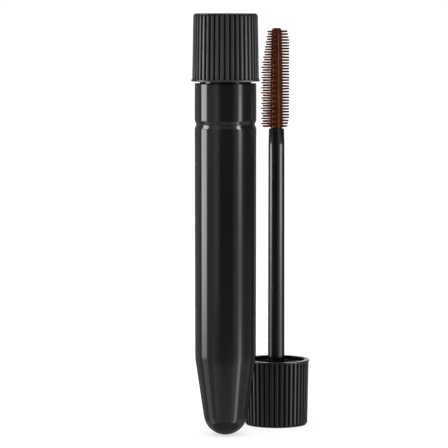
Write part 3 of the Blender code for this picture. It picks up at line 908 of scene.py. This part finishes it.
def make_floor():
    """A broad pale floor that polished plastic doesn't mirror. Of its two suns, only one lets the object
    cast its faint shade."""
    corners = [(x * FLOOR_HALF, y * FLOOR_HALF, 0) for x, y in ((-1, -1), (1, -1), (1, 1), (-1, 1))]
    mesh = bpy.data.meshes.new("floor")
    mesh.from_pydata(corners, [], [(0, 1, 2, 3)])
    mesh.materials.append(pale_floor_material())
    floor = bpy.data.objects.new("floor", mesh)
    bpy.context.scene.collection.objects.link(floor)
    floor.location.z = -FLOOR_DROP
    floor.visible_glossy = False
    floor.visible_shadow = False
    group = bpy.data.collections.new("floor_only")
    group.objects.link(floor)
    for name, strength, shadows in (("floor_light", 0.95, False), ("floor_shade", 0.22, True)):
        light = bpy.data.lights.new(name, "SUN")
        light.energy = strength * math.pi
        light.angle = SUN_SPREAD
        light.use_shadow = shadows
        sun = bpy.data.objects.new(name, light)
        bpy.context.scene.collection.objects.link(sun)
        sun.light_linking.receiver_collection = group


def make_world():
    """An even white surround that only the camera sees."""
    world = bpy.data.worlds.new("studio")
    bpy.context.scene.world = world
    world.use_nodes = True
    background = world.node_tree.nodes["Background"]
    background.inputs["Color"].default_value = (1, 1, 1, 1)
    background.inputs["Strength"].default_value = WORLD_BRIGHTNESS
    world.cycles_visibility.glossy = False
    world.cycles_visibility.diffuse = False


def light_nodes(light, softness, levels, strongest):
    """Shapes a softbox's glow: it fades towards its two sides, and follows levels from its foot to its head.
    levels are pairs of height and radiance."""
    light.use_nodes = True
    tree = light.node_tree
    geometry = tree.nodes.new("ShaderNodeNewGeometry")
    across = tree.nodes.new("ShaderNodeSeparateXYZ")
    tree.links.new(geometry.outputs["Parametric"], across.inputs["Vector"])
    middle = tree.nodes.new("ShaderNodeMath")
    middle.operation = "SUBTRACT"
    middle.inputs[1].default_value = 0.5
    tree.links.new(across.outputs["X"], middle.inputs[0])
    side = tree.nodes.new("ShaderNodeMath")
    side.operation = "ABSOLUTE"
    tree.links.new(middle.outputs[0], side.inputs[0])
    fade = tree.nodes.new("ShaderNodeMapRange")
    fade.interpolation_type = "SMOOTHSTEP"
    fade.inputs["From Min"].default_value = 0.5
    fade.inputs["From Max"].default_value = 0.5 * (1 - softness)
    tree.links.new(side.outputs[0], fade.inputs["Value"])
    place = tree.nodes.new("ShaderNodeSeparateXYZ")
    tree.links.new(geometry.outputs["Position"], place.inputs["Vector"])
    low, high = levels[0][0], levels[-1][0]
    height = tree.nodes.new("ShaderNodeMapRange")
    height.inputs["From Min"].default_value = low
    height.inputs["From Max"].default_value = high
    tree.links.new(place.outputs["Z"], height.inputs["Value"])
    ramp = tree.nodes.new("ShaderNodeValToRGB")
    tree.links.new(height.outputs["Result"], ramp.inputs["Fac"])
    stops = ramp.color_ramp.elements
    while len(stops) < len(levels):
        stops.new(0.5)
    for stop, (level, radiance) in zip(stops, levels):
        stop.position = (level - low) / (high - low)
        share = radiance / strongest
        stop.color = (share, share, share, 1)
    glow = tree.nodes.new("ShaderNodeMath")
    glow.operation = "MULTIPLY"
    tree.links.new(fade.outputs["Result"], glow.inputs[0])
    tree.links.new(ramp.outputs["Color"], glow.inputs[1])
    tree.links.new(glow.outputs[0], tree.nodes["Emission"].inputs["Strength"])


def even(radiance):
    """Levels of a softbox that glows alike from its foot to its head."""
    return [(-0.5, radiance), (0.5, radiance)]


def make_strip(name, azimuth, span, softness, levels, pieces):
    """A tall softbox that faces the tube and lights only the given pieces. azimuth and span are degrees
    seen from the tube's axis, counted from the camera's side, positive to the right."""
    angle = math.radians(azimuth)
    low, high = levels[0][0], levels[-1][0]
    strongest = max(radiance for _, radiance in levels)
    light = bpy.data.lights.new(name, "AREA")
    light.shape = "RECTANGLE"
    light.size = 2 * STRIP_DISTANCE * math.tan(math.radians(span) / 2)
    light.size_y = high - low
    light.energy = strongest * math.pi * light.size * light.size_y
    light_nodes(light, softness, levels, strongest)
    obj = bpy.data.objects.new(name, light)
    bpy.context.scene.collection.objects.link(obj)
    outward = Vector((math.sin(angle), -math.cos(angle), 0)) * STRIP_DISTANCE
    obj.location = (outward.x, outward.y, (low + high) / 2)
    obj.rotation_euler = (-outward).to_track_quat("-Z", "Y").to_euler()
    obj.light_linking.receiver_collection = pieces
    return light


def make_ceiling(name, size, height, radiance, pieces):
    """A level softbox that lights the given pieces: from overhead, or from below when height is negative."""
    light = bpy.data.lights.new(name, "AREA")
    light.size = size
    light.energy = radiance * math.pi * size**2
    obj = bpy.data.objects.new(name, light)
    bpy.context.scene.collection.objects.link(obj)
    obj.location = (*CEILING_PLACE, height)
    obj.rotation_euler.x = math.pi if height < 0 else 0
    obj.light_linking.receiver_collection = pieces


def group_pieces():
    """Collections of finished pieces, for lights that shine on some of them only."""
    names = sorted(PLACED)
    brush = [name for name in names if "bristles" in name or "brush_core" in name]
    spare = [name for name in names if "spare_" in name and name not in brush]
    cap = ["fine_cap_shell"]
    vial = [name for name in names if name not in brush + spare + cap]
    members = {
        "every": vial + cap + spare + brush,
        "main": vial + brush,
        "hard": vial + cap + spare,
        "vial": vial,
        "cap": cap,
        "spare": spare,
        "brush": brush,
        "rod": ["fine_spare_rod"],
        "closed": vial + cap,
        "stand": ["fine_spare_cap_shell", "fine_spare_inner_cap"],
        "insert": ["fine_spare_inner_cap"],
    }
    groups = {}
    for group, pieces in members.items():
        groups[group] = bpy.data.collections.new(group)
        for name in pieces:
            groups[group].objects.link(bpy.data.objects[name])
    return groups


def make_lights():
    """The softboxes of the studio, each with its radiance at several heights."""
    on = group_pieces()
    key_low = [(-0.5, 0.9), (-0.085, 0.9), (-0.04, 3.0), (-0.015, 5.4), (0.02, 7.0)]
    key_high = [(0.07, 7.4), (0.12, 7.4), (0.15, 3.4), (0.24, 3.4), (0.31, 10.0), (1.0, 10.0)]
    make_strip("key_strip", -88, 29, 0.2, key_low + key_high, on["main"])
    key_low = [(-0.5, 0.9), (-0.085, 0.9), (-0.06, 2.4), (-0.02, 3.3), (0.004, 4.2)]
    key_high = [(0.012, 8.5), (0.06, 9.5), (0.07, 0)]
    make_strip("spare_key_strip", -88, 29, 0.2, key_low + key_high, on["spare"])
    front = [(-0.5, 0), (-0.03, 0.15), (-0.015, 0.62), (0.5, 0.62)]
    make_strip("left_front_strip", -34, 34, 1, front, on["every"])
    make_strip("left_wash", -60, 46, 0.4, even(0.3), on["every"])
    right_low = [(-0.5, 2.8), (-0.045, 2.7), (-0.02, 1.0), (0.005, 1.1), (0.025, 2.1), (0.045, 2.5)]
    right_high = [(0.06, 5.2), (0.066, 7.0), (0.071, 3.6), (0.08, 2.5), (0.2, 2.5), (0.25, 14), (0.5, 14)]
    make_strip("right_strip", 56, 22, 1, right_low + right_high, on["vial"])
    make_strip("right_halo", 51, 58, 1, even(0.65), on["vial"])
    make_strip("cap_right_strip", 76, 64, 0.6, [(-0.5, 5.0), (0.12, 5.0), (0.13, 0)], on["cap"])
    cap_key = [(-0.1, 1.0), (0.0, 12.5), (0.12, 12.5), (0.13, 0)]
    make_strip("cap_key_strip", -87, 28, 0.25, cap_key, on["cap"])
    make_strip("cap_front_wash", 0, 90, 0.3, even(0.4), on["cap"])
    right_low = [(-0.5, 2.2), (-0.03, 2.3), (-0.01, 3.2), (0.012, 5.2)]
    right_high = [(0.03, 6.4), (0.06, 6.4), (0.07, 0)]
    make_strip("spare_right_strip", 70, 50, 0.6, right_low + right_high, on["spare"])
    make_strip("rod_right_halo", 42, 72, 1, even(0.65), on["rod"])
    rod_left_halo = make_strip("rod_left_halo", -56, 76, 1, even(0.7), on["rod"])
    rod_left_halo.use_shadow = False
    rod_left_halo.cycles.use_multiple_importance_sampling = False
    make_strip("brush_right_strip", 50, 20, 0.8, even(9.0), on["brush"])
    right_wash = [(-0.5, 0.33), (-0.15, 0.33), (-0.02, 0.15), (0.03, 0.05), (0.5, 0.04)]
    make_strip("right_wash", 92, 60, 0.4, right_wash, on["every"])
    rear = [(0.05, 0), (0.055, 0.6), (0.065, 0.6), (0.072, 0)]
    make_strip("right_rear_strip", 118, 12, 0.6, rear, on["vial"])
    make_strip("right_rear_wash", 150, 50, 0.6, even(0.22), on["every"])
    make_strip("left_rear_wash", -130, 50, 0.3, even(0.28), on["every"])
    rear = [(-0.065, 0), (-0.05, 5.0), (0.045, 5.0), (0.055, 0)]
    make_strip("rear_key_strip", 180, 14, 0.4, rear, on["hard"])
    make_strip("back_strip", 180, 60, 0.3, [(0.06, 0), (0.075, 0.3), (0.3, 0.3)], on["closed"])
    make_strip("spare_back_strip", 180, 60, 0.3, [(0.05, 0), (0.06, 2.0), (0.4, 2.0)], on["stand"])
    low = [(-0.6, 0.17), (-0.2, 0.17), (-0.05, 0.07), (0, 0)]
    make_strip("low_wash", -5, 100, 0.3, low, on["every"])
    make_ceiling("overhead", 0.5, 0.7, 1.2, on["hard"])
    make_ceiling("canopy", 2.4, 0.9, 0.3, on["every"])
    make_ceiling("insert_glow", 0.3, 0.5, 9.0, on["insert"])
    make_ceiling("underneath", 1.4, -0.35, 0.18, on["vial"])


def make_camera():
    data = bpy.data.cameras.new("camera")
    data.sensor_width = CAMERA_SENSOR
    data.lens = CAMERA_LENS
    data.clip_start = 0.01
    data.clip_end = 20.0
    camera = bpy.data.objects.new("camera", data)
    bpy.context.scene.collection.objects.link(camera)
    camera.location = CAMERA_PLACE
    camera.rotation_euler = (math.pi / 2 - CAMERA_TILT, 0, 0)
    bpy.context.scene.camera = camera


def set_tone():
    scene = bpy.context.scene
    scene.view_settings.view_transform = "Standard"
    scene.view_settings.look = "None"


make_camera()
make_world()
make_floor()
set_tone()
finishes = make_finishes()
make_tube(finishes)
make_applicators(finishes)
make_lights()
